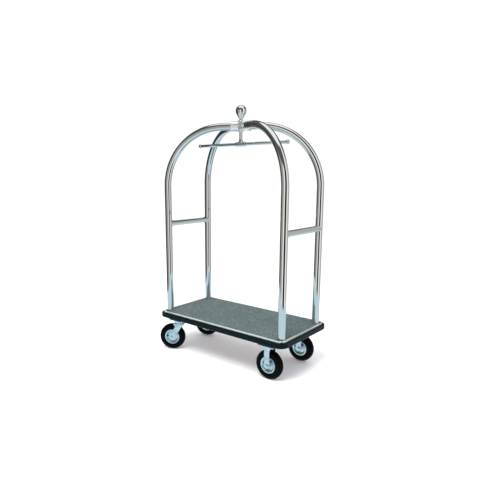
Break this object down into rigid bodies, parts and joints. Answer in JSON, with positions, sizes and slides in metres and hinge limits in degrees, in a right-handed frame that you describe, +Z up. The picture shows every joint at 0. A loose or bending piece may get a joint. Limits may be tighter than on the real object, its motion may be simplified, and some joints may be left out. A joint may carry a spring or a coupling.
{
  "type": "hotel luggage cart",
  "caption": "Hotel luggage cart: crossed arches of bright tube over a carpeted deck with a rubber bumper, a hanging bar, and rigid and swivel casters.",
  "frame": {"origin": "on the floor, under the centre of the deck", "axes": "+X along the deck's length towards the rigid casters, +Y across its width, +Z up"},
  "size_m": [1.1643, 0.5942, 1.8205],
  "materials": {
    "chrome": "polished tube and fittings",
    "carpet": "short looped pile, grey-green fleck",
    "plywood": "plain birch plywood",
    "frame_paint": "satin black powder coat",
    "aluminium": "bright satin extrusion",
    "bumper_rubber": "smooth dark rubber",
    "zinc": "bright zinc plate with a blue cast",
    "steel": "plain steel",
    "tyre_rubber": "black tread rubber",
    "tube_rubber": "butyl inner tube",
    "ring_dark": "dull plated ring"
  },
  "bodies": {
    "cart": {"deck_frame": "frame_paint", "cross_member_left": "frame_paint", "cross_member_right": "frame_paint", "deck_board": "plywood", "carpet": "carpet", "edge_trim": "aluminium", "bumper": "bumper_rubber", "post_base_rings": "ring_dark", "post_foot_plugs": "steel", "post_bolts": "zinc", "end_rail_left": "chrome", "end_rail_right": "chrome", "rail_collars": "chrome", "crown_hub": "chrome", "set_screws": "steel", "finial": "chrome", "hanger_rod": "chrome", "hanger_tee": "chrome", "hanger_bar": "chrome", "hanger_end_balls": "chrome", "caster_kingpins": "zinc", "caster_plate_bolts": "zinc", "arch_tube_front_left": "chrome", "arch_tube_front_right": "chrome", "arch_tube_back_right": "chrome", "arch_tube_back_left": "chrome", "caster_plate_front_left": "zinc", "rigid_fork_front_right": "zinc", "axle_front_right": "zinc", "rigid_fork_back_right": "zinc", "axle_back_right": "zinc", "caster_plate_back_left": "zinc"},
    "swivel_front_left": {"swivel_fork_front_left": "zinc", "swivel_balls_front_left": "steel", "axle_front_left": "zinc"},
    "wheel_front_left": {"rim_front_left": "zinc", "rim_bolts_front_left": "zinc", "tyre_front_left": "tyre_rubber", "inner_tube_front_left": "tube_rubber", "wheel_bearings_front_left": "steel"},
    "wheel_front_right": {"rim_front_right": "zinc", "rim_bolts_front_right": "zinc", "tyre_front_right": "tyre_rubber", "inner_tube_front_right": "tube_rubber", "wheel_bearings_front_right": "steel"},
    "wheel_back_right": {"rim_back_right": "zinc", "rim_bolts_back_right": "zinc", "tyre_back_right": "tyre_rubber", "inner_tube_back_right": "tube_rubber", "wheel_bearings_back_right": "steel"},
    "swivel_back_left": {"swivel_fork_back_left": "zinc", "swivel_balls_back_left": "steel", "axle_back_left": "zinc"},
    "wheel_back_left": {"rim_back_left": "zinc", "rim_bolts_back_left": "zinc", "tyre_back_left": "tyre_rubber", "inner_tube_back_left": "tube_rubber", "wheel_bearings_back_left": "steel"}
  },
  "joints": [
    {"name": "caster_swivel_front_left", "type": "hinge", "parent": "cart", "child": "swivel_front_left", "pos_m": [-0.438, -0.203, 0.226], "axis": [0, 0, 1], "continuous": true},
    {"name": "wheel_spin_front_left", "type": "hinge", "parent": "swivel_front_left", "child": "wheel_front_left", "pos_m": [-0.48698, -0.23015, 0.1016], "axis": [0.4848, -0.8746, 0], "continuous": true},
    {"name": "wheel_spin_front_right", "type": "hinge", "parent": "cart", "child": "wheel_front_right", "pos_m": [0.415, -0.203, 0.1016], "axis": [0, -1, 0], "continuous": true},
    {"name": "wheel_spin_back_right", "type": "hinge", "parent": "cart", "child": "wheel_back_right", "pos_m": [0.415, 0.203, 0.1016], "axis": [0, -1, 0], "continuous": true},
    {"name": "caster_swivel_back_left", "type": "hinge", "parent": "cart", "child": "swivel_back_left", "pos_m": [-0.438, 0.203, 0.226], "axis": [0, 0, 1], "continuous": true},
    {"name": "wheel_spin_back_left", "type": "hinge", "parent": "swivel_back_left", "child": "wheel_back_left", "pos_m": [-0.48875, 0.17933, 0.1016], "axis": [0.4226, -0.9063, 0], "continuous": true}
  ]
}
